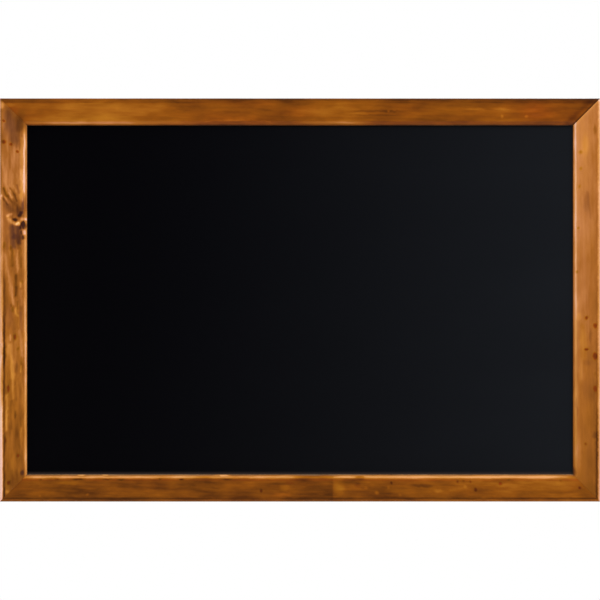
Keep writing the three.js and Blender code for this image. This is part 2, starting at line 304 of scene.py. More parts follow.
class Side:
    """A side of the frame, and the way from its own measures to the board's: along it, clockwise
    from its middle, then in from the outer edge, then deep from the back face."""

    def __init__(self, name, turns, **wood):
        self.name = name
        self.turns = turns
        self.wood = {**PLAIN_WOOD, **wood}
        angle = turns * math.pi / 2
        self.out = np.round([math.sin(angle), math.cos(angle)])
        self.along = np.round([math.cos(angle), -math.sin(angle)])
        self.lying = turns % 2 == 0
        self.middle = HALF_HEIGHT if self.lying else HALF_WIDTH
        self.half_length = HALF_WIDTH if self.lying else HALF_HEIGHT

    def place(self, along, inset, deep):
        """Places on the board, one in each row."""
        x, z = (self.out[i] * (self.middle - inset) + self.along[i] * along for i in (0, 1))
        return np.stack([x, BACK - deep + 0 * x, z], axis=-1)

    def measures(self, places):
        """The side's own measures of places on the board."""
        across = places[:, [0, 2]]
        return across @ self.along, self.middle - across @ self.out, BACK - places[:, 1]


# Each side's wood, in millimetres apart from breaks, figure_size and pith. A list of pairs holds
# values along the side: how far from its left or top end, then the value. A tone is above 0 where
# the stain is paler and where a highlight is painted, and below 0 where shade is painted. A hue is above
# 0 where it is redder, or on the stiles more salmon, past 1 more and more mauve, below 0 more ochre and
# past -1 more and more rusty.
# tone, hue: the stain along the side, with painted shade that darkens the stiles towards the bottom;
# slope: how much paler its inner edge is
# joints: at its two mitres, clockwise, the tone, its reach and its share
# breaks: how far the edges at those mitres are broken
# sight, sight_at, sight_half, sight_hue: the pale line on the sight bevel, partly sanded wood and partly
# a painted highlight, its tone, how far from the lip it lies, its half width and its hue
# line_hue: how much redder the face is beside the sight bevel
# gathered, gathered_in, ragged: the line of gathered stain beside the outer rounding, how dark it
# is, how far from the outer edge it lies and how ragged it is
# rubbed, rim_reach, rim_hue: the outer rounding, paler with wear and with a painted reflection, and on
# the top rail darker with painted shade: its tone, how far in it reaches and its hue
# lip, worn_lip: how dark the stain on the lip is, and how far the lip is bare of stain
# figure, figure_size, fibre: the strength and size of the grain's patches, and its lines' strength
# pith, lean: where the growth rings have their middle, and how it leans away along the grain
SIDES = [
    Side(
        "top_rail", 0, slot="rail_wood", breaks=(0.03 * MM, 0.2 * MM), sight_half=1.4, sight_hue=1,
        gathered_in=3.8, ragged=0.3, lip=0.24, figure=0.5, figure_size=(0.032, 0.0085, 0.0085),
        fibre=0.09, pith=(0, 0.045, -0.060), lean=0.030,
        tone=[(40, 0), (70, 0.06), (100, 0.12), (150, 0.01), (200, -0.1), (290, -0.12), (315, -0.01),
              (360, -0.02), (400, -0.12), (450, -0.11), (500, -0.08), (560, -0.12), (600, -0.15)],
        hue=[(0, 0.2), (60, 0), (100, -0.1), (130, 0.05), (170, -0.1), (210, 0.35), (300, 0.25),
             (325, -0.1), (400, 0.1), (500, 0), (535, 0.5), (560, 0.4), (600, 0.2)],
        joints=[(-0.07, 12, 0.8), (-0.36, 2.2, 0.85)],
        sight=[(28, 0.2), (80, 0.34), (120, 0.28), (170, 0.2), (200, 0.04), (240, 0.02), (260, 0.12),
               (290, 0.04), (325, 0.26), (355, 0.26), (375, 0.04), (580, 0.02)],
        sight_at=[(0, 2.4), (200, 2.6), (300, 2.8), (400, 2.6)],
        gathered=[(160, 0.16), (300, 0.06), (430, 0.06), (460, 0.12), (600, 0.16)], rim_wear_and_sheen=[(0, -0.2)],
    ),
    Side(
        "right_stile", 1, slot="stile_wood", slope=0.2, breaks=(0.2 * MM, 0.03 * MM), sight_half=1.25,
        sight_hue=0.2, line_hue=0.2, gathered_in=3.5, ragged=0.45, lip=0.2, figure=0.34,
        figure_size=(0.034, 0.009, 0.009), fibre=0.06, pith=(0, 0.020, -0.075), lean=-0.022,
        tone=[(0, 0.1), (100, 0.05), (200, 0), (300, -0.08), (400, -0.15)],
        hue=[(200, 0.8), (300, 0.4), (400, 0.1)], joints=[(0.26, 2, 0.8), (-0.13, 10, 0.7)],
        sight=[(20, 0.31), (120, 0.33), (200, 0.34), (380, 0.15)],
        sight_at=[(0, 2.1), (100, 2.5), (400, 2.8)],
        gathered=[(0, 0.03), (200, 0.05), (300, 0.08), (325, 0.14), (340, 0.3), (400, 0.32)],
        rim_wear_and_sheen=[(200, 0.36), (400, 0.54)], rim_hue=[(0, 0.2), (300, 0.3), (340, 0.6), (400, 1)],
    ),
    Side(
        "bottom_rail", 2, slot="rail_wood", slope=0.07, breaks=(0.03 * MM, 0.03 * MM), sight_half=1.5,
        sight_hue=0, line_hue=1, gathered_in=3.3, ragged=0.3, lip=0.2, worn_lip=0.34, figure=0.55,
        figure_size=(0.026, 0.0075, 0.0075), fibre=0.09, pith=(0, 0.05, -0.035), lean=0.036,
        tone=[(0, -0.11), (100, -0.14), (300, -0.16), (390, -0.15), (430, -0.07), (498, -0.04),
              (504, -0.02)],
        hue=[(60, -0.2), (150, 0), (300, 0), (400, -0.1)], joints=[(0.01, 10, 0.7), (-0.13, 10, 0.7)],
        sight=[(20, 0.3), (34, 0.52), (290, 0.52), (305, 0.36), (330, 0.38), (345, 0.56), (545, 0.5),
               (560, 0.34), (566, 0.28), (576, 0.02)],
        sight_at=[(0, 2.35)],
        gathered=[(210, 0.15), (245, 0.06), (290, 0.06), (330, 0.14), (450, 0.17), (550, 0.24)],
        rim_wear_and_sheen=[(0, 0.06)],
    ),
    Side(
        "left_stile", 3, slot="stile_wood", breaks=(0.03 * MM, 0.03 * MM), sight_half=1.15,
        sight_hue=0.25, gathered_in=4.6, ragged=0.4, rim_reach=2.2, lip=-0.08, worn_lip=0.1,
        figure=0.58, figure_size=(0.022, 0.0042, 0.0042), fibre=0.16, pith=(0, 0.03, 0.048), lean=0.028,
        tone=[(0, 0.03), (80, 0.04), (150, -0.06), (200, -0.09), (250, -0.04), (320, -0.12),
              (400, -0.13)],
        hue=[(80, 0.8), (100, 0.7), (130, 0.8), (150, 0.5), (200, 0.3), (300, 0.1), (400, 0)],
        joints=[(-0.24, 10, 0.7), (-0.2, 12, 0.8)],
        sight=[(20, 0.06), (28, 0.12), (36, 0.46), (90, 0.48), (100, 0.08), (112, 0), (119, 0.12),
               (128, 0.2), (138, 0.42), (190, 0.4), (205, 0.45), (300, 0.45), (380, 0.38)],
        sight_at=[(0, 1.8), (30, 2.4), (90, 2.4), (105, 1.5), (300, 1.4), (400, 1.2)],
        gathered=[(0, 0), (170, 0.04), (190, 0.3), (244, 0.5), (260, 0.5), (275, 0.26), (400, 0.36)],
        rim_wear_and_sheen=[(0, 0.02), (14, -0.02), (25, -0.1), (45, -0.05), (80, 0.02), (100, 0.12), (130, 0.24),
                (190, 0.36), (240, 0.42), (290, 0.46), (312, 0.62), (400, 0.76)],
        rim_hue=[(0, 0.5)],
    ),
]

# Stain, wear and painted light on all sides. MARKED_DEPTH and RIM_DEPTH are from the front face,
# BACK_FADE from the back. The other lengths are in millimetres. Lapped is how far stain ran onto the raw
# back
MARKED_DEPTH = (5 * MM, 3.2 * MM)
RIM_DEPTH = (4 * MM, 1.5 * MM)
BACK_FADE = (0.15 * MM, 0.5 * MM)
RIM_FADE = 2
MITRE_HUE = 0.2
SIGHT_HUE_SHARE = 0.8
SIGHT_LINE = 5
LIP_HALF = 0.8
WOBBLE, WOBBLE_RUN = 0.5, 9
RAGGED_RUN = 1.7
LAPPED_LEAST, LAPPED_MORE, LAPPED_RUN = 1.6, 2.2, 11
LAPPED_FADE = 1.5
MARK_SWAY, SWAY_RUNS = 1.1, (3.1, 2.7)

# Marks in the stain and the wood, in millimetres from the board's left and top edges: middle,
# half lengths to the right and down, tone and hue
PATCHES = [
    # Top rail
    (372, 17, 26, 1, -0.1, 0), (378, 13, 32, 1.2, -0.12, 0), (475, 11, 9, 1.2, 0.12, -0.1),
    (500, 11, 8, 1.2, 0.12, -0.1), (536, 14, 16, 8, 0.04, 0.4),
    # Right stile
    (594.4, 31.5, 1.5, 4.5, -0.14, -0.5), (585, 46, 4, 11, 0.08, -0.5), (586, 103, 3, 12, -0.03, 0.4),
    (578.6, 218, 2.4, 4, 0.1, -0.5), (586, 219, 2.2, 1.8, -0.1, -2.2),
    (594.8, 227.3, 1.9, 2.4, -0.22, -8), (581.4, 227.5, 2.6, 3.2, -0.03, -0.2),
    (590, 237, 1.6, 7, -0.13, 0.2), (583, 245, 4, 18, 0.05, -0.6), (586, 250.5, 2.2, 1.6, -0.15, -2.4),
    (594.8, 257.6, 2.4, 3.4, -0.24, -8), (586, 264, 5, 3, -0.07, 0.3), (580.5, 270, 2, 13, 0.08, -0.2),
    (595, 275.5, 1.5, 2.6, -0.06, -0.4), (590, 281.5, 2, 6, 0.05, 0), (590, 290, 8, 12, -0.05, 0.2),
    (594.6, 290, 1.8, 3.2, -0.08, -8), (575.5, 305, 1.2, 6, -0.1, 0.8), (577, 313, 1.1, 5, -0.08, 0.6),
    (594, 336.5, 2.4, 4, -0.12, 0.4), (578.5, 352, 2.4, 24, 0.1, 0.2), (576, 352, 1.6, 7, 0.04, 1),
    (573.5, 373, 2.6, 4, -0.22, 1.2), (589, 393, 13, 10, -0.08, -0.3),
    # Bottom rail
    (69, 384, 10, 2.2, 0.12, -0.5), (282, 396, 9, 1.6, 0.12, 0.2), (285, 389, 5, 3, 0.12, -0.5),
    (290, 384, 4, 1.8, -0.05, 0.7), (339, 388, 6, 9, 0.14, -0.5), (357, 386, 3, 2, -0.08, 0.6),
    (360, 379, 5, 1.6, -0.2, 0.3), (422, 387, 11, 1.6, -0.16, 0.1), (438, 392, 5, 1.8, 0.14, 0.2),
    # Left stile, with the knot from 112 to 130
    (10, 6.5, 5, 2, 0.12, -0.1), (1.5, 7, 3, 3.5, 0.36, -0.1), (13, 10, 10, 6, 0.04, 0.1),
    (22, 16, 4, 6, -0.04, -0.5), (18, 21.5, 5, 4, -0.03, 0.1), (4.3, 22.6, 1.8, 1.4, -0.22, -8),
    (20.5, 23.5, 3, 2.6, -0.06, 0), (8, 24, 7, 13, -0.02, 0.4), (19.5, 26, 5.2, 9.5, -0.13, 0.2),
    (19, 30, 4, 5, -0.1, 0.1), (4.1, 43.7, 2.2, 2.2, -0.26, -8), (11, 46, 1.4, 1.6, -0.16, -8),
    (17.9, 53.4, 1.5, 1.1, -0.3, -8), (1, 98.5, 2.4, 3, 0.3, 0.1), (24.5, 106, 3, 7, -0.06, 1.3),
    (9.5, 108, 4, 8, -0.02, 0.2), (20, 112.5, 3.6, 4.5, -0.14, 0.2), (21.8, 114.6, 2, 1.8, -0.3, 1.5),
    (20.6, 117.4, 2.4, 2.2, -0.36, 0.1), (8.1, 118.4, 1.8, 1.8, 0.14, -0.6),
    (15.3, 121.3, 2.6, 1.7, -0.6, 0.1), (23.2, 125.2, 2.2, 2.4, -0.9, 0.6),
    (18.2, 125.4, 2.6, 1.9, 0.55, -1.7), (24.8, 128, 2.4, 2.8, -0.55, 1),
    (20.5, 128.8, 1.2, 2.2, -0.3, 0.6), (22, 129.4, 2.2, 1.8, -0.14, 0.2),
    (24.3, 134, 1.9, 2.8, 0.2, 0.2), (22, 134.5, 1.1, 2.4, -0.3, 0.6), (15.3, 138, 2.4, 3, -0.1, 0.5),
    (24, 138.6, 3, 2.6, -0.1, 0.2), (23.3, 139, 1.3, 2, -0.4, 0.6), (4.5, 147, 1.2, 3.2, -0.13, -2.2),
    (11, 149.5, 1.2, 2.4, -0.2, -2.6), (3, 158, 2.5, 6, 0.08, 0.2), (22.4, 183, 1.3, 1.8, -0.07, -1.8),
    (11.3, 207, 1.2, 2, -0.16, -0.4), (12.7, 211, 1.4, 3, -0.15, -1.8), (17, 216, 3, 13, 0.12, -0.3),
    (9, 218, 4.5, 11, -0.06, 0.6), (15.5, 238.4, 1.8, 3.4, -0.2, -2.4), (18.4, 250, 1.4, 2, -0.14, -1.6),
    (5, 254, 1.6, 8, -0.15, -1.4), (22.3, 266, 1.4, 5, -0.09, -1.8), (16.9, 270, 1.6, 7, -0.16, 0.2),
    (8.7, 290, 1.5, 4, -0.16, -1.8), (9, 290, 1.6, 9, 0, -0.8), (15.6, 316, 1.3, 4.5, -0.2, -0.3),
    (5.8, 341, 1.2, 4, -0.16, -2), (18.3, 357, 1.6, 2.4, -0.14, -2.4), (22.5, 374, 2.2, 3, -0.24, 1.6),
    (13, 379, 8, 9, -0.1, 0), (9, 384, 2, 2.2, -0.2, -2.6), (7.5, 393, 2.2, 2.2, 0.26, -0.3),
]

# Red-brown dashes of gathered stain along the bottom rail's sight bevel: middle, half length, tone
DASHES = [
    (41, 1.6, -0.14), (57.5, 3, -0.14), (78.5, 6, -0.26), (107.5, 5, -0.18), (121.5, 4, -0.18),
    (160, 1.5, -0.14), (182, 2.5, -0.28), (227, 5.5, -0.18), (508, 1.6, -0.14),
]
DASH_LEVEL = 380.6
DASH_HALF = 0.9
DASH_HUE = -3.2

# Stretches of the bottom rail's lip that are paler: middle and half length
PALE_LIP = [(81.5, 4), (105.5, 3), (222.5, 8)]
LIP_LEVEL = 376.2
PALE_LIP_HALF = 1
PALE_LIP_TONE = 0.6

# Specks and pin knots, and pale flecks: middles. Their sizes and strengths are drawn at random
DARK_SPECKS = [
    (261, 392), (391, 384), (457, 383), (463, 382), (470, 383), (475, 391),
    (500, 385), (560, 382), (579, 389), (580, 54), (580, 70), (579, 88), (578, 130),
    (576.5, 173.5), (586, 219), (586, 250.5), (585, 345), (579.5, 389.5),
]
PALE_FLECKS = [
    (388, 13), (502, 18), (526, 18), (40, 397), (88, 396), (388, 389), (366, 389), (377, 394),
    (400, 396), (465, 388),
]
SPECK_HALF, SPECK_SIZES = 1.3, (0.8, 1.5)
SPECK_STRENGTHS = (0.6, 1.3)
SPECK_TONE = -0.16
SPECK_HUE = -2.4
FLECK_TONE = 0.16

# Streaks of grain: two ends, half width, tone and hue
STREAKS = [
    # Top rail, with a painted highlight along its sight bevel, and its right mitre
    (205, 23.4, 222, 22, 0.7, 0.1, 0.2), (224, 22.2, 250, 22, 0.7, 0.1, 0.2),
    (252, 22.2, 270, 23.2, 0.7, 0.1, 0.2), (592, 1, 567, 25, 3.2, -0.13, 0.4),
    # Right stile
    (587, 94, 590, 120, 1.4, -0.05, 0.2),
    # Left stile above the knot, with the fan of dark grain from 86 to 106
    (15, 12, 24, 18, 4, -0.03, 0.3), (9, 14, 15, 42, 6.5, -0.13, 0.6),
    (21.9, 40, 22, 72, 1.3, 0.15, -0.7), (21.9, 72, 22.1, 101, 1.9, 0.27, -0.7),
    (16.7, 86.7, 19.6, 95, 0.9, -0.16, 0.7), (13.9, 87.4, 16.7, 93, 0.8, 0.14, 0),
    (8, 88, 11, 93, 0.8, 0.1, 0), (3.9, 90.3, 7.2, 98, 1.4, -0.34, -2.4),
    (11, 90.3, 15.3, 97.4, 1.2, -0.3, -0.2), (8.9, 94.6, 12.4, 99.6, 0.9, 0.18, 0),
    (15.3, 97.4, 17, 103, 1.3, -0.3, 0.2), (8.1, 97.5, 12.6, 104, 1.3, -0.32, -0.2),
    (5.3, 98.8, 9.2, 104.6, 0.8, 0.2, 0.2), (3.1, 99.6, 8.1, 106, 1.4, -0.32, -0.2),
    (15, 105, 20, 113, 4.4, -0.2, 0.2), (7.5, 107, 19, 115, 4.8, -0.17, 0.3),
    # The knot and the dark wood below it
    (8.1, 117.4, 11.5, 115.6, 1.4, 0.28, -0.1), (22.2, 121.4, 26.6, 120.6, 1.6, 0.34, -0.1),
    (8.8, 121, 15.4, 125.4, 1.8, 0.28, -0.5), (19.2, 123.6, 22.2, 121.8, 1.3, 0.18, -0.4),
    (18, 128, 19, 144, 3.2, -0.26, 1), (13, 129, 14, 148, 3.6, -0.19, 1),
    (8, 137, 8, 150, 2.2, -0.1, 0.3), (15, 140, 15.4, 149, 1, -0.14, 0.5),
    # The wavy grain lower down
    (20.9, 150, 21.2, 168, 1.3, -0.12, -0.5), (12.7, 152, 12.8, 167, 1.6, -0.16, -0.7),
    (18, 152, 17.8, 174, 1.3, 0.18, 0.1), (5.6, 156, 8.4, 172, 1.8, 0.12, 0.2),
    (8.4, 172, 11.3, 186, 2, 0.16, 0.3), (16, 177.6, 16.2, 188, 1.4, -0.2, -0.8),
    (20.8, 184, 20.6, 188.5, 1, 0.26, -0.3), (11.3, 186, 12.9, 198, 2, 0.18, 0.3),
    (16.2, 188, 16.2, 197, 1.7, -0.3, -0.6), (21, 192, 21.5, 206, 1.5, 0.14, 0.4),
    (12.9, 198, 13.6, 206, 1.3, 0.2, 0.2), (17.5, 203, 18.6, 210, 1, -0.14, -0.4),
    (16.3, 209.7, 15.6, 214.7, 0.9, 0.18, -0.6), (21, 214, 22, 232, 1.4, 0.04, 1),
    (15.6, 214.7, 18.6, 217.2, 0.9, 0.16, -0.6), (20, 232, 22.6, 257, 1.4, 0.12, 0.5),
    (10.9, 236.5, 10.9, 242, 0.8, 0.3, 0.3), (10.6, 247, 11.5, 260.6, 2.5, 0.23, -0.1),
    (11.5, 260.6, 13, 279, 2.4, 0.23, -0.2), (21.2, 268, 21.1, 273, 0.8, 0.26, -0.4),
    (13.2, 279, 13.1, 300, 1.5, 0.18, 0), (15.6, 284, 17.4, 302, 1.3, -0.08, 0),
    (7.1, 297, 7.2, 331, 1.6, 0.3, -0.2), (10.8, 303, 11.6, 330, 1.3, -0.07, 0),
    (21.5, 330, 21.5, 356, 1, 0.12, 0.2), (12, 352, 13.5, 374, 1.3, 0.03, -0.3),
]

# The dark patch of the bottom rail that ends sharply at the right
STAIN_START, STAIN_END, STAIN_TONE = 300, 333, -0.09
STAIN_FADE_IN, STAIN_FADE_OUT = 9, 0.8


def rail_outline():
    """The section of a side, from the rabbet's back corner round the outer edge to the lip."""
    front = FRAME_DEPTH
    return rounded_outline([
        (LAND_WIDTH, 0, INNER_ARRIS, 1.5 * MM),
        (0, 0, BACK_EDGE, 1.2 * MM),
        (0, front, FRONT_EDGE, 0.8 * MM),
        (RAIL_WIDTH - SIGHT_WIDTH, front, SIGHT_ARRIS, 0.6 * MM),
        (RAIL_WIDTH, front - SIGHT_DEPTH, LIP_ARRIS, 0.6 * MM),
        (RAIL_WIDTH, LIP_BACK, INNER_ARRIS, 3 * MM),
        (LAND_WIDTH, LIP_BACK, 0, 4 * MM),
    ])


def in_rabbet(inset, deep):
    """Whether points of a side lie in the rabbet that holds the panel."""
    return (inset > LAND_WIDTH - RABBET_SLACK) & (deep < LIP_BACK + RABBET_SLACK)


def rail_surface(side, seed):
    """The outline carried along the side between its mitres. Each point is drawn back along the
    outline's normal by relief, by nicks at the arrises and by the broken edge at the mitre."""
    outline = rail_outline()
    normals = outline_normals(outline)
    inset, deep = outline.T
    reach = side.half_length - GLUE_LINE / math.sqrt(2)
    steps = round(2 * (reach - END_STATIONS[-1]) / STATION_PITCH)
    middle = np.linspace(END_STATIONS[-1] - reach, reach - END_STATIONS[-1], steps + 1)
    ends = reach - np.array(END_STATIONS[:-1])
    stations = np.concatenate([-ends, middle, ends[::-1]]) / reach

    shown = (deep > BACK_EDGE) & ~in_rabbet(inset, deep)
    to_sight = np.hypot(inset - (RAIL_WIDTH - SIGHT_WIDTH), deep - FRAME_DEPTH)
    to_lip = np.hypot(inset - RAIL_WIDTH, deep - FRAME_DEPTH + SIGHT_DEPTH)
    arris = np.exp(-((np.minimum(to_sight, to_lip) / ARRIS_REACH) ** 2))
    girth = np.cumsum(np.hypot(*(outline - np.roll(outline, 1, axis=0)).T))

    along = stations[:, None] * (reach - inset)[None, :]
    waves = soft_noise(along / RELIEF_RUN + 50, girth / RELIEF_GIRTH + 0 * along, seed)
    nicks = soft_noise(along / NICK_RUN + 60, girth / NICK_GIRTH + 0 * along, seed + 1)
    to_mitre = (1 - np.abs(stations))[:, None] * reach
    breaks = np.where(along < 0, *side.wood["breaks"])
    broken = breaks * np.clip(1 - to_mitre / JOINT_BREAK_WIDTH, 0, 1)
    drawn = shown * (RELIEF * waves + NICK_DEPTH * arris * smooth_step(nicks, NICK_ONSET, 1.0) + broken)
    inset = inset - drawn * normals[:, 0]
    deep = deep - drawn * normals[:, 1]
    along = stations[:, None] * (reach - inset)
    points = side.place(along, inset, deep).reshape(-1, 3)

    rows, columns = along.shape
    faces = grid_quads(rows, columns).tolist()
    first = list(range(columns))
    faces += [first[::-1], [i + (rows - 1) * columns for i in first]]
    return new_object(side.name + "_wood", points, faces)


def back_cuts(side, screw_place):
    """The slots that the V-nails, the panel points and the hanger's screw are driven into."""
    lows, highs = [], []
    for i in range(NAILS):
        inset = (i + 1) * LAND_WIDTH / (NAILS + 1)
        start = side.half_length - inset
        for sign in (-1, 1):
            ends = sorted((sign * (start - NAIL_LEG - DRIVE_GAP), sign * (start + DRIVE_GAP)))
            lows.append((ends[0], inset - DRIVE_GAP, -OVERRUN))
            highs.append((ends[1], inset + NAIL_SHEET + DRIVE_GAP, NAIL_DEPTH))
    for node in frame["nodes"]:
        if node.startswith(side.name + "_panel_point"):
            low, high = (np.array(corner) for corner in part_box(node))
            ends = side.measures(np.stack([low, high]))
            along, deep = np.sort(ends[0]), np.sort(ends[2])
            lows.append((along[0] - DRIVE_GAP, LAND_WIDTH - SLOT_REACH, deep[0] - DRIVE_GAP))
            highs.append((along[1] + DRIVE_GAP, LAND_WIDTH + OVERRUN, deep[1] + DRIVE_GAP))
    if screw_place is not None:
        hole = SCREW_CREST + DRIVE_GAP
        lows.append((screw_place - hole, LAND_WIDTH / 2 - hole, -OVERRUN))
        highs.append((screw_place + hole, LAND_WIDTH / 2 + hole, HOLE_DEPTH))
    return box_cutter(lows, highs, side.place)


def spot(x, z, across, down):
    """1 in the middle of an oval mark, falling off as exp(-r^4) towards its rim."""
    return np.exp(-(((x / across) ** 2 + (z / down) ** 2) ** 2))


def streak(x, z, x0, z0, x1, z1, half):
    """1 along a line from end to end, falling off beside it as exp(-r^2)."""
    run = np.array([x1 - x0, z1 - z0])
    share = np.clip(((x - x0) * run[0] + (z - z0) * run[1]) / (run @ run), 0, 1)
    away = np.hypot(x - x0 - share * run[0], z - z0 - share * run[1])
    return np.exp(-((away / half) ** 2))


def all_marks():
    """Every oval mark of the face, as in PATCHES."""
    marks = list(PATCHES)
    marks += [(middle, DASH_LEVEL, half, DASH_HALF, tone, DASH_HUE) for middle, half, tone in DASHES]
    marks += [(middle, LIP_LEVEL, half, PALE_LIP_HALF, PALE_LIP_TONE, 0) for middle, half in PALE_LIP]
    draw = np.random.default_rng(7)
    for places, tone, hue in ((DARK_SPECKS, SPECK_TONE, SPECK_HUE), (PALE_FLECKS, FLECK_TONE, 0)):
        for middle, level in places:
            across, down = SPECK_HALF * draw.uniform(*SPECK_SIZES, 2)
            marks.append((middle, level, across, down, tone * draw.uniform(*SPECK_STRENGTHS), hue))
    return marks


def face_marks(x, z):
    """Tone and hue of all marks at points of the face, in millimetres from its left and top."""
    sway = [soft_noise(x / run, z / run, seed) - 0.5 for run, seed in zip(SWAY_RUNS, (81, 82))]
    x, z = x + MARK_SWAY * sway[0], z + MARK_SWAY * sway[1]
    tone, hue = np.zeros_like(x), np.zeros_like(x)
    for middle, level, across, down, darker, redder in all_marks():
        mask = spot(x - middle, z - level, across, down)
        tone += darker * mask
        hue += redder * mask
    pale, deep, shift = (np.zeros_like(x) for _ in range(3))
    for *ends, half, darker, redder in STREAKS:
        mask = streak(x, z, *ends, half)
        pale = np.maximum(pale, darker * mask)
        deep = np.minimum(deep, darker * mask)
        shift = np.where(np.abs(redder * mask) > np.abs(shift), redder * mask, shift)
    tone += pale + deep
    hue += shift
    patch = smooth_step(x, STAIN_START - STAIN_FADE_IN, STAIN_START + STAIN_FADE_IN)
    patch *= 1 - smooth_step(x, STAIN_END - STAIN_FADE_OUT, STAIN_END + STAIN_FADE_OUT)
    tone += STAIN_TONE * patch * (z > HALF_HEIGHT / MM)
    return tone, hue


def bell(values, middle, half):
    """1 at the middle, falling off on both sides as exp(-r^2)."""
    return np.exp(-(((values - middle) / half) ** 2))


def dress_rail(piece, side, seed):
    """Gives the wood its stain, with painted highlights and shade in its tone, as four values a point:
    tone, hue, calm where the mitres' tones meet, and raw where no stain came or where the lip is bare."""
    wood = side.wood
    places = np.empty(3 * len(piece.data.vertices), np.float32)
    piece.data.vertices.foreach_get("co", places)
    places = places.reshape(-1, 3).astype(float)
    along, inset, deep = side.measures(places)
    from_left = (places[:, 0] + HALF_WIDTH) / MM
    from_top = (HALF_HEIGHT - places[:, 2]) / MM
    run = from_left if side.lying else from_top

    def here(key):
        return np.interp(run, *zip(*wood[key]))

    front, rim_front = (
        smooth_step(deep, FRAME_DEPTH - far, FRAME_DEPTH - near)
        for far, near in (MARKED_DEPTH, RIM_DEPTH)
    )
    # On the stiles the tone along the side darkens towards the bottom: painted shade on the stain
    tone = here("tone") + front * wood["slope"] * (inset / RAIL_WIDTH - 0.5)
    hue = here("hue")
    to_mitre = (side.half_length - inset - np.abs(along)) / MM
    joint, reach, share = (np.where(along < 0, *ends) for ends in zip(*wood["joints"]))
    calm = share * bell(to_mitre, 0, reach)
    tone += calm * (joint - tone)
    hue += calm * (MITRE_HUE - hue)
    marks_tone, marks_hue = face_marks(from_left, from_top)
    tone += front * marks_tone
    hue += front * marks_hue

    wobble = WOBBLE * (soft_noise(run / WOBBLE_RUN + 20, inset / MM + 20, seed + 5) - 0.5)
    from_lip = (RAIL_WIDTH - inset) / MM - wobble
    # The pale line on the sight bevel: partly sanded wood, partly a painted highlight
    glow = bell(from_lip, here("sight_at"), wood["sight_half"])
    lip = front * bell(from_lip, 0, LIP_HALF)
    tone += front * glow * here("sight") - wood["lip"] * lip
    line = wood["line_hue"] * bell(from_lip, SIGHT_LINE, 1)
    hue += front * (line + SIGHT_HUE_SHARE * glow * (wood["sight_hue"] - hue))
    ragged = wood["ragged"] * (soft_noise(run / RAGGED_RUN + 40, 0 * run, seed + 6) - 0.5)
    from_edge = inset / MM + wobble + ragged
    tone -= front * bell(from_edge, wood["gathered_in"], 1) * here("gathered")
    # The outer rounding: paler with wear and with a painted reflection, and on the top rail darker with
    # painted shade
    wear_and_sheen = rim_front * (1 - smooth_step(from_edge, wood["rim_reach"], wood["rim_reach"] + RIM_FADE))
    tone += wear_and_sheen * here("rim_wear_and_sheen")
    hue += wear_and_sheen * (here("rim_hue") - hue)

    lapped = LAPPED_LEAST + LAPPED_MORE * soft_noise(run / LAPPED_RUN + 30, 0 * run, seed + 7)
    open_back = smooth_step(inset / MM, lapped, lapped + LAPPED_FADE)
    open_back *= 1 - smooth_step(deep, *BACK_FADE)
    raw = np.maximum(np.maximum(open_back, in_rabbet(inset, deep)), wood["worn_lip"] * lip)
    for name, values in (("tone", tone), ("hue", hue), ("calm", calm), ("raw", raw)):
        attribute = piece.data.attributes.new(name, "FLOAT", "POINT")
        attribute.data.foreach_set("value", values.astype(np.float32))


# Hangers and pads


def finer_copy(name, node, width):
    """A CAD piece's own shape with its doubled corners merged and its edges rounded."""
    mesh = frame["nodes"][node].data.copy()
    mesh.name = name
    piece = in_scene(name, mesh)
    weld = piece.modifiers.new("weld", "WELD")
    weld.merge_threshold = 1e-6
    flat = piece.modifiers.new("flat", "DECIMATE")
    flat.decimate_type = "DISSOLVE"
    flat.angle_limit = math.radians(1)
    rounding = piece.modifiers.new("round", "BEVEL")
    rounding.width = width
    rounding.segments = 3
    rounding.limit_method = "ANGLE"
    rounding.angle_limit = math.radians(40)
    return smooth(shaped(piece))


def ring_line(steps):
    """Points and directions along the D: the hinge's straight, a corner, a side, the half round,
    the other side and the other corner. Each is a share of its own straight or arc."""
    half = RING_HALF
    corner = RING_CORNER
    share = np.arange(steps) / steps

    def straight(x0, z0, x1, z1):
        points = np.stack([x0 + (x1 - x0) * share, z0 + (z1 - z0) * share], axis=1)
        run = np.array([x1 - x0, z1 - z0]) / math.hypot(x1 - x0, z1 - z0)
        return points, run + 0 * points

    def arc(x0, z0, radius, start, turn):
        angle = start + turn * share
        points = np.stack([x0 + radius * np.cos(angle), z0 + radius * np.sin(angle)], axis=1)
        return points, np.stack([-np.sin(angle), np.cos(angle)], axis=1)

    top = RING_REACH - half
    points, runs = zip(
        straight(corner - half, 0, half - corner, 0),
        arc(half - corner, corner, corner, -math.pi / 2, math.pi / 2),
        straight(half, corner, half, top),
        arc(0, top, half, 0, math.pi),
        straight(-half, top, -half, corner),
        arc(corner - half, corner, corner, math.pi, math.pi / 2),
    )
    return np.concatenate(points), np.concatenate(runs)


def ring_piece(side, hinge, lean):
    """The wire: a circle carried round the D, square to it, then leant about the hinge's axis."""
    line, run = ring_line(RING_STEPS)
    turn = 2 * math.pi * np.arange(WIRE_STEPS) / WIRE_STEPS
    outward = np.stack([run[:, 1], -run[:, 0]], axis=1)
    across = line[:, None, :] + WIRE_RADIUS * np.cos(turn)[None, :, None] * outward[:, None, :]
    deep = WIRE_RADIUS * np.sin(turn)[None, :] + 0 * across[..., 0]
    flat = np.stack([across[..., 0], deep, across[..., 1]], axis=-1).reshape(-1, 3)
    leant = flat @ np.array(Matrix.Rotation(lean, 3, "X")).T
    faces = grid_quads(len(line), len(turn), wrap_rows=True).tolist()
    return smooth(new_object(side + "_d_ring", leant + hinge, faces), 60)


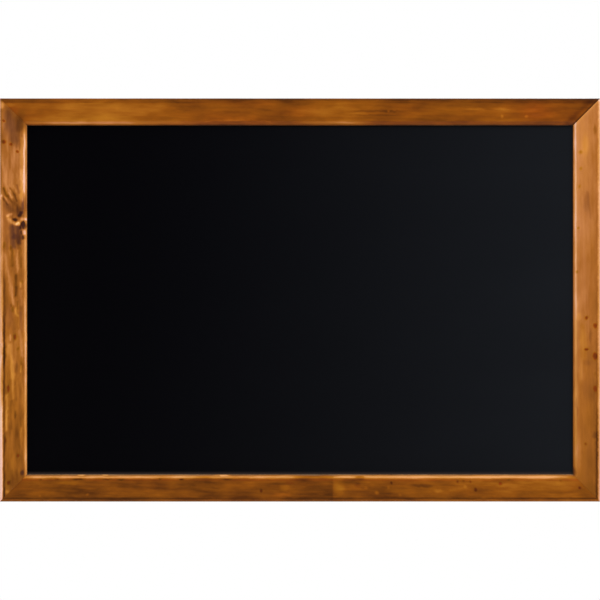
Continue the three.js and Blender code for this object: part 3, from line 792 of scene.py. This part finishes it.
def turned(name, radii, levels, base, lift=None):
    """A solid turned about Y through base: a circle at each level with the given radius, and a
    point at either end. lift(level, angle) adds to the radius, for a thread."""
    columns = TURNED_STEPS
    angle = 2 * math.pi * np.arange(columns) / columns
    radii, levels = np.array(radii)[:, None], np.array(levels)[:, None]
    radius = radii[1:-1] + 0 * angle
    level = levels[1:-1] + 0 * angle
    if lift is not None:
        radius = radius + lift(level, angle + 0 * level)
    points = np.stack([radius * np.cos(angle), level, -radius * np.sin(angle)], axis=-1)
    points = points.reshape(-1, 3)
    rows = len(radii) - 2
    tips = np.array([[0, levels[0, 0], 0], [0, levels[-1, 0], 0]])
    faces = grid_quads(rows, columns).tolist()
    last = (rows - 1) * columns
    foot, top = rows * columns, rows * columns + 1
    for i in range(columns):
        beside = (i + 1) % columns
        faces += [[beside, i, foot], [last + i, last + beside, top]]
    return new_object(name, np.concatenate([points, tips]) + base, faces)


def screw_piece(side):
    """A pan-head screw: its cone, its thread and shank, the head's underside, rim and crown."""
    low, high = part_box(side + "_hanger_screw")
    base = np.array([(low.x + high.x) / 2, high.y - HEAD_HEIGHT, (low.z + high.z) / 2])
    tip = low.y - base[1]
    shank = np.arange(tip + SCREW_STEP / 2, -SCREW_STEP / 2, SCREW_STEP)
    cone = SCREW_ROOT * np.clip((shank - tip) / SCREW_TIP, 0, 1)
    rise = HEAD_HEIGHT - HEAD_RIM
    crown = HEAD_RADIUS - rise
    radii = [0, *cone, SCREW_ROOT, HEAD_RADIUS - HEAD_EDGE, HEAD_RADIUS]
    levels = [tip, *shank, 0.0, 0.0, HEAD_EDGE]
    radii += [*(crown + rise * np.cos(QUARTER_ROUND)), crown * INNER_CIRCLE, 0]
    levels += [*(HEAD_RIM + rise * np.sin(QUARTER_ROUND)), HEAD_HEIGHT, HEAD_HEIGHT]
    start, end = tip + SCREW_TIP / 2, -SCREW_PLAIN

    def thread(level, angle):
        place = (level - start - SCREW_PITCH * angle / (2 * math.pi) + SCREW_PITCH / 2) % SCREW_PITCH
        ridge = np.clip(1 - np.abs(place - SCREW_PITCH / 2) / SCREW_RIDGE, 0, 1)
        begun = smooth_step(level, start, start + SCREW_FADE)
        ended = smooth_step(level, end - SCREW_FADE, end)
        return (SCREW_CREST - SCREW_ROOT) * ridge * begun * (1 - ended)

    piece = turned(side + "_screw", radii, levels, base, lift=thread)
    half, slot = RECESS_HALF, RECESS_SLOT
    arm = np.array([(half, -slot), (half, slot), (slot, slot)])
    cross = []
    for turn in RECESS_TURN + math.pi / 2 * np.arange(4):
        cross.append(arm @ [[math.cos(turn), math.sin(turn)], [-math.sin(turn), math.cos(turn)]])
    cross = np.concatenate(cross)
    rings = []
    for level, size in zip((HEAD_HEIGHT - RECESS_DEPTH, HEAD_HEIGHT + OVERCUT), RECESS_SIZES):
        x, z = size * cross.T
        rings.append(np.stack([x, level + 0 * x, z], axis=1))
    count = len(cross)
    faces = grid_quads(2, count).tolist() + [list(range(count))[::-1], list(range(count, 2 * count))]
    carve(piece, new_object("recess", np.concatenate(rings) + base, faces))
    return smooth(piece, 30)


def pad_piece(side):
    """A pad turned about Y: flat against the wood, a straight side, a quarter round and a face that
    is dished a little."""
    low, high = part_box(side + "_wall_pad")
    base = np.array([(low.x + high.x) / 2, low.y, (low.z + high.z) / 2])
    radius, height = (high.x - low.x) / 2, high.y - low.y
    radii = [0, radius * INNER_CIRCLE, radius - PAD_EDGE, radius]
    levels = [0, 0, 0, PAD_EDGE]
    radii += list(radius - PAD_ROUND * (1 - np.cos(QUARTER_ROUND)))
    levels += list(height - PAD_ROUND * (1 - np.sin(QUARTER_ROUND)))
    for share, dish in PAD_DISH:
        radii.append(radius * share)
        levels.append(height - dish)
    return smooth(turned(side + "_pad", radii, levels, base), 40)


# Materials

# Stain and raw wood, from dark to pale stain and from early to late wood
RAIL_STAIN = [
    (0.0, (0.022, 0.006, 0.0010)), (0.25, (0.098, 0.025, 0.0010)), (0.5, (0.252, 0.068, 0.0014)),
    (0.75, (0.43, 0.147, 0.009)), (0.85, (0.54, 0.215, 0.045)), (1.0, (0.73, 0.33, 0.11)),
]
STILE_STAIN = [
    (0.0, (0.045, 0.012, 0.002)), (0.25, (0.175, 0.051, 0.0025)), (0.5, (0.352, 0.113, 0.0082)),
    (0.75, (0.58, 0.226, 0.034)), (0.88, (0.74, 0.32, 0.078)), (1.0, (0.87, 0.50, 0.25)),
]
MIDDLE_TONE = 0.53
RAW_PINE = [(0.0, (0.70, 0.49, 0.27)), (0.5, (0.60, 0.38, 0.18)), (1.0, (0.40, 0.205, 0.08))]

# How far along the grain each side's wood lies from the side before, so that no two look alike
GRAIN_SHIFT = 0.7

# Factors that the hues multiply the stain by, and the mauves of dark and of pale stain
REDDER = (1.05, 0.84, 1.0)
SALMON = (0.98, 0.97, 2.1)
OCHRE = (0.98, 1.09, 0.68)
RUST = (1.07, 0.6, 0.6)
DARK_MAUVE = (0.05, 0.012, 0.006)
MAUVE = (0.235, 0.080, 0.036)

# Panel
BLACK_PAINT = (0.0002, 0.0001, 0.0009)
# The dark grey of a painted sheen, which stands in for the reflection of soft light on the right
SHEEN_PAINT = (0.0066, 0.0078, 0.0104)
DUSTY_PAINT = (0.09, 0.058, 0.045)
BOARD_FIBRES = [
    (0.3, (0.075, 0.034, 0.013)), (0.62, (0.155, 0.075, 0.031)), (0.95, (0.27, 0.15, 0.07)),
]
SCREEN_PITCH = 1.6 * MM

# Where across the board the painted sheen starts and is full, which stands in for the reflection
# of soft light from the right, and how far the dust reaches below and above the bottom edge of the
# opening
SHEEN_START, SHEEN_FULL = -220 * MM, 300 * MM
DUST_BELOW, DUST_ABOVE = 0.5 * MM, 4.5 * MM


def wire(tree, node, inputs):
    """Fills a node's inputs, by name or number, with a link from a socket or with a constant."""
    for key, value in inputs.items():
        if isinstance(value, bpy.types.NodeSocket):
            tree.links.new(value, node.inputs[key])
        else:
            node.inputs[key].default_value = value
    return node


def add(tree, kind, inputs=None, **settings):
    """A new node with its settings and its inputs."""
    node = tree.nodes.new(kind)
    for name, value in settings.items():
        setattr(node, name, value)
    return wire(tree, node, inputs or {})


def reckon(tree, operation, *values):
    """A Math node's result."""
    return add(tree, "ShaderNodeMath", dict(enumerate(values)), operation=operation).outputs[0]


def weighed(tree, *parts):
    """The sum of values, each times its own weight."""
    total = 0.0
    for value, weight in parts:
        total = reckon(tree, "MULTIPLY_ADD", value, weight, total)
    return total


def ramp(tree, value, *stops):
    """A colour ramp through (place, colour) stops."""
    node = add(tree, "ShaderNodeValToRGB", {0: value})
    elements = node.color_ramp.elements
    for element, (place, colour) in zip(elements, (stops[0], stops[-1])):
        element.position, element.color = place, (*colour, 1)
    for place, colour in stops[1:-1]:
        elements.new(place).color = (*colour, 1)
    return node.outputs[0]


def between(tree, value, low=0.0, high=1.0, start=0.0, end=1.0, kind="LINEAR"):
    """A value's place between start and end, carried to low and high."""
    inputs = {0: value, 1: start, 2: end, 3: low, 4: high}
    return add(tree, "ShaderNodeMapRange", inputs, interpolation_type=kind).outputs[0]


def blend(tree, share, first, second, kind="MIX"):
    """Two colours mixed by a share."""
    inputs = {0: share, 6: first, 7: second}
    for key in (6, 7):
        if isinstance(inputs[key], tuple):
            inputs[key] = (*inputs[key], 1)
    return add(tree, "ShaderNodeMix", inputs, data_type="RGBA", blend_type=kind).outputs[2]


def new_group(name, inputs, outputs):
    """A node group with inputs as (name, kind, value) and number outputs."""
    tree = bpy.data.node_groups.new(name, "ShaderNodeTree")
    for label, kind, value in inputs:
        socket = tree.interface.new_socket(name=label, in_out="INPUT", socket_type="NodeSocket" + kind)
        socket.default_value = value
    for label in outputs:
        tree.interface.new_socket(name=label, in_out="OUTPUT", socket_type="NodeSocketFloat")
    return tree, tree.nodes.new("NodeGroupInput").outputs, tree.nodes.new("NodeGroupOutput")


def placed(tree, group, **inputs):
    """A node group in a material, with its own values."""
    node = tree.nodes.new("ShaderNodeGroup")
    node.node_tree = group
    return wire(tree, node, inputs).outputs


def mottle_group():
    """Cloudy noise whose patches have the given size along X, Y and Z."""
    tree, given, result = new_group(
        "Mottle",
        [
            ("Place", "Vector", (0, 0, 0)),
            ("Size", "Vector", (0.01, 0.01, 0.01)),
            ("Roughness", "Float", 0.5),
        ],
        ["Value"],
    )
    scaled = add(tree, "ShaderNodeVectorMath", {0: given["Place"], 1: given["Size"]}, operation="DIVIDE")
    inputs = {"Vector": scaled.outputs[0], "Scale": 1.0, "Detail": 3.0, "Roughness": given["Roughness"]}
    wire(tree, result, {"Value": add(tree, "ShaderNodeTexNoise", inputs).outputs[0]})
    return tree


MOTTLE = mottle_group()


def mottled(tree, place, size, roughness):
    """Cloudy noise from the mottle group. A single size holds for X, Y and Z."""
    if isinstance(size, float):
        size = (size, size, size)
    return placed(tree, MOTTLE, Place=place, Size=size, Roughness=roughness)["Value"]


def pine_group():
    """Pine with its grain along X. Growth rings are cylinders round a pith that leans away along
    the grain. Each ring goes from pale early wood to dark late wood, then starts again. Fibres are
    noise drawn out along the grain."""
    tree, given, result = new_group(
        "Pine Grain",
        [
            ("Place", "Vector", (0, 0, 0)),
            ("Pith", "Vector", (0, 0.03, -0.05)),
            ("Lean", "Float", 0.03),
            ("Ring Width", "Float", 0.0031),
            ("Sway", "Float", 0.0085),
        ],
        ["Late Wood", "Fibre", "Height"],
    )
    off = add(tree, "ShaderNodeVectorMath", {0: given["Place"], 1: given["Pith"]}, operation="SUBTRACT")
    parts = add(tree, "ShaderNodeSeparateXYZ", {0: off.outputs[0]}).outputs
    bend = mottled(tree, given["Place"], (0.09, 0.012, 0.012), 0.45)
    across = reckon(tree, "MULTIPLY_ADD", parts[0], given["Lean"], parts[2])
    radius = reckon(tree, "POWER", weighed(tree, (parts[1], parts[1]), (across, across)), 0.5)
    radius = reckon(tree, "MULTIPLY_ADD", bend, given["Sway"], radius)
    year = reckon(tree, "FRACT", reckon(tree, "DIVIDE", radius, given["Ring Width"]))
    rise = between(tree, year, start=0.35, end=0.86, kind="SMOOTHSTEP")
    fall = between(tree, year, start=1.0, end=0.93, kind="SMOOTHSTEP")
    late = reckon(tree, "MULTIPLY", rise, fall)
    fibre = mottled(tree, given["Place"], (0.028, 0.0005, 0.0005), 0.6)
    height = weighed(tree, (fibre, 0.8), (late, 0.6))
    wire(tree, result, {"Late Wood": late, "Fibre": fibre, "Height": height})
    return tree


PINE = pine_group()


def new_material(name):
    """A material with its tree, its shader and the point's place on the object."""
    material = bpy.data.materials.new(name)
    material.use_nodes = True
    tree = material.node_tree
    shader = tree.nodes["Principled BSDF"]
    place = tree.nodes.new("ShaderNodeTexCoord").outputs["Object"]
    return material, tree, shader, place


def bump(tree, shader, height, distance, strength):
    """Relief on a shader from a height."""
    node = add(tree, "ShaderNodeBump", {"Height": height, "Distance": distance, "Strength": strength})
    tree.links.new(node.outputs[0], shader.inputs["Normal"])


def read_value(tree, name):
    """A value that each point of the mesh has."""
    return add(tree, "ShaderNodeAttribute", attribute_name=name).outputs["Fac"]


def stained_pine(side):
    """Pine under brown stain and a thin satin varnish. Its grain runs along the side."""
    material, tree, shader, place = new_material("stained_pine_" + side.name)
    wood = side.wood
    turned_place = {
        "Vector": place,
        "Rotation": (0, -side.turns * math.pi / 2, 0),
        "Location": (GRAIN_SHIFT * side.turns, -BACK, -side.middle),
    }
    local = add(tree, "ShaderNodeMapping", turned_place).outputs[0]
    grain = placed(tree, PINE, Place=local, Pith=wood["pith"], Lean=wood["lean"])
    figure = mottled(tree, local, wood["figure_size"], 0.55)
    lively = reckon(tree, "SUBTRACT", 1.0, read_value(tree, "calm"))
    tone = reckon(tree, "ADD", read_value(tree, "tone"), MIDDLE_TONE)
    for value, middle, strength in (
        (figure, 0.5, wood["figure"]),
        (grain["Fibre"], 0.5, wood["fibre"]),
        (grain["Late Wood"], 0.2, -0.3 * wood["fibre"]),
    ):
        change = reckon(tree, "MULTIPLY", reckon(tree, "SUBTRACT", value, middle), lively)
        tone = reckon(tree, "MULTIPLY_ADD", change, strength, tone)
    drift = mottled(tree, local, (0.05, 0.011, 0.011), 0.5)
    drift = reckon(tree, "SUBTRACT", drift, 0.5)
    hue = reckon(tree, "MULTIPLY_ADD", drift, 1.2, read_value(tree, "hue"))
    stain, redder = (RAIL_STAIN, REDDER) if side.lying else (STILE_STAIN, SALMON)
    colour = ramp(tree, tone, *stain)
    for start, end, tint in ((0, 1, redder), (0, -1, OCHRE), (-1, -2, RUST)):
        share = between(tree, hue, start=start, end=end)
        colour = blend(tree, share, colour, tint, "MULTIPLY")
    mauve = between(tree, hue, start=1.0, end=2.2)
    colour = blend(tree, mauve, colour, blend(tree, tone, DARK_MAUVE, MAUVE))
    bare = weighed(tree, (grain["Fibre"], 0.5), (grain["Late Wood"], 0.55))
    raw = read_value(tree, "raw")
    colour = blend(tree, raw, colour, ramp(tree, bare, *RAW_PINE))
    gloss = between(tree, grain["Fibre"], 0.34, 0.50)
    dull = add(tree, "ShaderNodeMix", {0: raw, 2: gloss, 3: 0.75}, data_type="FLOAT").outputs[0]
    wire(tree, shader, {"Base Color": colour, "Roughness": dull, "Specular IOR Level": 0.13})
    bump(tree, shader, grain["Height"], 0.05 * MM, 0.7)
    return material


def chalk_paint():
    """Matt black paint, rolled on, with a faint painted sheen that grows to the right in place of the
    reflection of soft light, broken into soft patches, and a little dust along the bottom of the
    opening."""
    material, tree, shader, place = new_material("chalk_paint")
    x, _, z = add(tree, "ShaderNodeSeparateXYZ", {0: place}).outputs
    # Painted sheen: none at the left and full at the right, in place of the reflection of soft light
    sheen = reckon(tree, "POWER", between(tree, x, start=SHEEN_START, end=SHEEN_FULL), 1.5)
    sheen_patches = mottled(tree, place, (0.16, 0.1, 0.05), 0.5)
    sheen = reckon(tree, "MULTIPLY", sheen, between(tree, sheen_patches, 0.85, 1.15))
    colour = blend(tree, sheen, BLACK_PAINT, SHEEN_PAINT)
    sill = RAIL_WIDTH - HALF_HEIGHT
    dust = between(tree, z, 1.0, 0.0, sill - DUST_BELOW, sill + DUST_ABOVE)
    dust = reckon(tree, "POWER", dust, 3.0)
    colour = blend(tree, dust, colour, DUSTY_PAINT)
    stipple = mottled(tree, place, 0.0011, 0.6)
    rough = between(tree, stipple, 0.46, 0.62)
    wire(tree, shader, {"Base Color": colour, "Roughness": rough, "Specular IOR Level": 0.1})
    bump(tree, shader, stipple, 0.05 * MM, 0.6)
    return material


def pressed_board():
    """Hardboard's screen side: brown fibres under the print of a woven wire screen."""
    material, tree, shader, place = new_material("pressed_board")
    x, _, z = add(tree, "ShaderNodeSeparateXYZ", {0: place}).outputs
    pitch = 2 * math.pi / SCREEN_PITCH
    waves = [reckon(tree, "SINE", reckon(tree, "MULTIPLY", value, pitch)) for value in (x, z)]
    screen = between(tree, reckon(tree, "MULTIPLY", *waves), start=-1.0, end=1.0)
    fibres = mottled(tree, place, (0.0016, 0.0016, 0.0007), 0.65)
    cloud = mottled(tree, place, 0.05, 0.6)
    colour = ramp(tree, weighed(tree, (cloud, 0.4), (fibres, 0.7), (screen, 0.25)), *BOARD_FIBRES)
    rough = between(tree, fibres, 0.7, 0.95)
    wire(tree, shader, {"Base Color": colour, "Roughness": rough, "Specular IOR Level": 0.25})
    bump(tree, shader, weighed(tree, (fibres, 0.5), (screen, 0.8)), 0.22 * MM, 0.8)
    return material


def plated_steel(name, dark, light, rough):
    """Steel with a thin plated or blued skin, a little cloudy and finely scratched."""
    material, tree, shader, place = new_material(name)
    cloud = mottled(tree, place, 0.004, 0.6)
    scratches = mottled(tree, place, (0.0025, 0.0003, 0.0003), 0.6)
    colour = blend(tree, between(tree, cloud, start=0.3, end=0.7), dark, light)
    rough = between(tree, cloud, *rough, 0.3, 0.7)
    wire(tree, shader, {"Base Color": colour, "Metallic": 1.0, "Roughness": rough})
    bump(tree, shader, scratches, 0.02 * MM, 0.4)
    return material


def pad_rubber():
    """Dark rubber with a dusty bloom."""
    material, tree, shader, place = new_material("pad_rubber")
    bloom = mottled(tree, place, 0.003, 0.7)
    fine = mottled(tree, place, 0.0003, 0.6)
    share = between(tree, bloom, start=0.35, end=0.75)
    colour = blend(tree, share, (0.018, 0.018, 0.018), (0.036, 0.035, 0.033))
    rough = between(tree, bloom, 0.65, 0.85)
    wire(tree, shader, {"Base Color": colour, "Roughness": rough, "Specular IOR Level": 0.35})
    bump(tree, shader, fine, 0.03 * MM, 0.5)
    return material


# Stage


def shown_white(tree):
    """1 for the rays that show the background itself: camera, mirror and glass rays."""
    path = tree.nodes.new("ShaderNodeLightPath").outputs
    pair = reckon(tree, "MAXIMUM", path["Is Camera Ray"], path["Is Glossy Ray"])
    return reckon(tree, "MAXIMUM", pair, path["Is Transmission Ray"])


def make_world():
    """White all round: full where it is seen, and dimmer as a light."""
    world = bpy.data.worlds.new("studio")
    bpy.context.scene.world = world
    world.use_nodes = True
    tree = world.node_tree
    strength = between(tree, shown_white(tree), WORLD_LIGHT, 1.0)
    wire(tree, tree.nodes["Background"], {"Color": (1, 1, 1, 1), "Strength": strength})


def flat_card(name, corners, colour, glow=0.0):
    """A stage card through four corners, with a little light of its own for the camera alone."""
    mesh = bpy.data.meshes.new(name)
    mesh.from_pydata(corners, [], [(0, 1, 2, 3)])
    card = in_scene(name, mesh)
    material, tree, shader, _ = new_material(name)
    seen = add(tree, "ShaderNodeLightPath").outputs["Is Camera Ray"]
    light = reckon(tree, "MULTIPLY", seen, glow)
    wire(tree, shader, {"Base Color": (*colour, 1), "Roughness": 1.0, "Specular IOR Level": 0.0})
    wire(tree, shader, {"Emission Color": (1, 1, 1, 1), "Emission Strength": light})
    mesh.materials.append(material)
    return card


def lamp(name, place, power, gloss):
    """A square area light that faces the board's middle and that the camera doesn't see."""
    data = bpy.data.lights.new(name, "AREA")
    data.shape = "SQUARE"
    data.size = LAMP_SIZE
    data.energy = power
    light = in_scene(name, data)
    light.location = place
    light.rotation_mode = "QUATERNION"
    light.rotation_quaternion = (-Vector(place)).to_track_quat("-Z", "Y")
    light.visible_camera = False
    light.visible_glossy = gloss


def make_camera():
    """A long lens straight in front of the board's middle."""
    data = bpy.data.cameras.new("camera")
    data.lens = LENS
    data.sensor_width = SENSOR
    camera = in_scene("camera", data)
    camera.location = (0, BACK - FRAME_DEPTH - VIEW_WIDTH * LENS / SENSOR, 0)
    camera.rotation_euler = (math.pi / 2, 0, 0)
    bpy.context.scene.camera = camera


make_camera()
make_world()
bpy.context.scene.view_settings.view_transform = "Standard"

SQUARE = [(-1, -1), (1, -1), (1, 1), (-1, 1)]
floor_corners = [(FLOOR_SIZE / 2 * x, FLOOR_SIZE / 2 * y, FLOOR_LEVEL) for x, y in SQUARE]
flat_card("floor", floor_corners, (0.93, 0.93, 0.92), FLOOR_GLOW)

# A black card in front of the board that only its gloss sees, as a studio hides its own white
flag_corners = [(FLAG_RIGHT if x > 0 else -FLAG_REACH, FLAG_PLACE, FLAG_REACH * z) for x, z in SQUARE]
flag = flat_card("black_flag", flag_corners, (0.0, 0.0, 0.0))
for ray in ("camera", "diffuse", "transmission", "volume_scatter", "shadow"):
    setattr(flag, "visible_" + ray, False)

lamp("key", (0.9, -1.5, 1.7), 42, False)
lamp("fill", (-1.6, -1.9, 0.3), 10, False)
lamp("behind", (0.9, 1.9, 1.4), 34, True)


# The object

joints = {joint["name"]: joint for joint in frame["joints"]}
screw_level = sum(corner.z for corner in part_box("left_hanger_screw")) / 2

for index, side in enumerate(SIDES):
    seed = 10 + 10 * index
    wood = rail_surface(side, seed)
    screw_place = {"left_stile": screw_level, "right_stile": -screw_level}.get(side.name)
    carve(wood, back_cuts(side, screw_place))
    dress_rail(wood, side, seed)
    wood.data.materials.append(stained_pine(side))
    smooth(wood)
    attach(wood, "board")
    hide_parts(side.name)

zinc = plated_steel("zinc_plate", (0.42, 0.44, 0.47), (0.60, 0.61, 0.63), (0.22, 0.36))
blued = plated_steel("blued_steel", (0.10, 0.115, 0.145), (0.20, 0.21, 0.22), (0.30, 0.46))
rubber = pad_rubber()

for side in ("left", "right"):
    hinge = np.array(joints[side + "_ring_swing"]["pos_m"])
    lean = math.asin((hinge[1] - BACK - WIRE_RADIUS - RING_GAP) / RING_REACH)
    ring = ring_piece(side, hinge, lean)
    strap = finer_copy(side + "_strap", side + "_hanger_strap", STRAP_EDGE)
    screw = screw_piece(side)
    pad = pad_piece(side)
    for piece, body, node, finish, slot in (
        (ring, side + "_ring", side + "_hanger_ring", zinc, "zinc_plate"),
        (strap, "board", side + "_hanger_strap", zinc, "zinc_plate"),
        (screw, "board", side + "_hanger_screw", zinc, "zinc_plate"),
        (pad, "board", side + "_wall_pad", rubber, "pad_rubber"),
    ):
        piece.data.materials.append(finish)
        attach(piece, body)
        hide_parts(node)

frame["nodes"]["writing_sheet"].material_slots[0].material = chalk_paint()
frame["nodes"]["panel_core"].material_slots[0].material = pressed_board()
for name, node in frame["nodes"].items():
    if "panel_point" in name or "v_nail" in name:
        node.material_slots[0].material = blued

bpy.context.view_layer.update()
